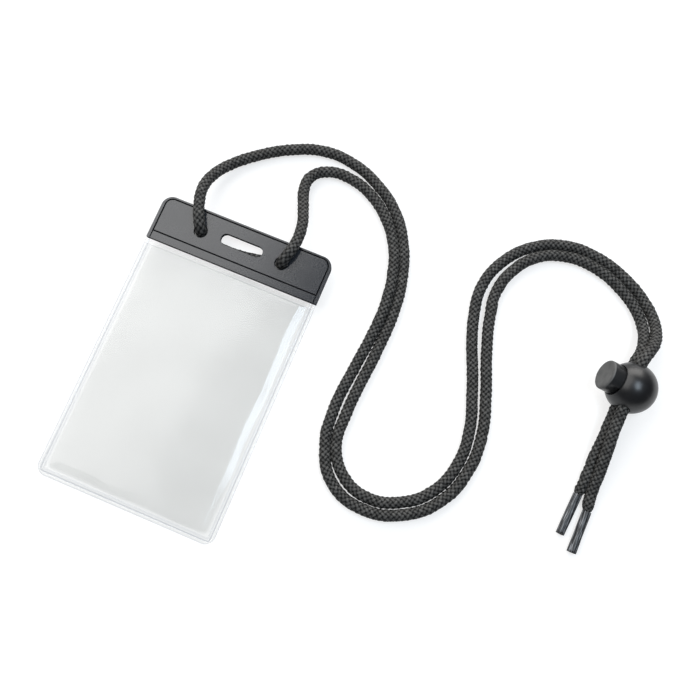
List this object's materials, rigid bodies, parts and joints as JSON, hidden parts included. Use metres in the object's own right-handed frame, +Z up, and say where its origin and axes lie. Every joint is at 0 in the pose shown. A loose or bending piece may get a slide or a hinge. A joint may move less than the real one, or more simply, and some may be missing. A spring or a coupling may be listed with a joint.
{
  "type": "id badge wallet",
  "caption": "Clear badge wallet with a dark slotted header, hung on a long braided neck cord that runs through a sprung ball lock and ends in wrapped tips.",
  "frame": {"origin": "centre of the holder's footprint on the surface it lies on, the cord and what is on it left out", "axes": "+X across the holder, +Y from its foot to its header, +Z up, out of its front"},
  "size_m": [0.1834, 0.1469, 0.0179],
  "materials": {
    "header": "matte grained sheet with pressed weld lines",
    "clear_film": "clear soft film, glossy",
    "cord": "round braid",
    "aglet": "wrapped film, glossy with lengthwise creases",
    "lock_ball": "moulded, satin gloss",
    "lock_button": "moulded, fine matte texture",
    "spring_steel": "bright wire"
  },
  "bodies": {
    "holder": {"header_front": "header", "header_back": "header", "pocket_front": "clear_film", "pocket_back": "clear_film", "cord_bridge": "cord", "cord_left": "cord", "cord_right": "cord", "aglet_left": "aglet", "aglet_right": "aglet"},
    "cord_lock": {"lock_ball": "lock_ball", "lock_spring": "spring_steel"},
    "button": {"lock_button": "lock_button"}
  },
  "joints": [
    {"name": "lock_slide", "type": "slide", "parent": "holder", "child": "cord_lock", "axis": [-0.0318, -0.9941, -0.1034], "range_m": [0, 0.006]},
    {"name": "button_press", "type": "slide", "parent": "cord_lock", "child": "button", "axis": [0.9412, 0.005, -0.3379], "range_m": [0, 0.0024], "stiffness_N_per_m": 1200, "springref_m": -0.003, "deforming": ["lock_spring"]}
  ]
}
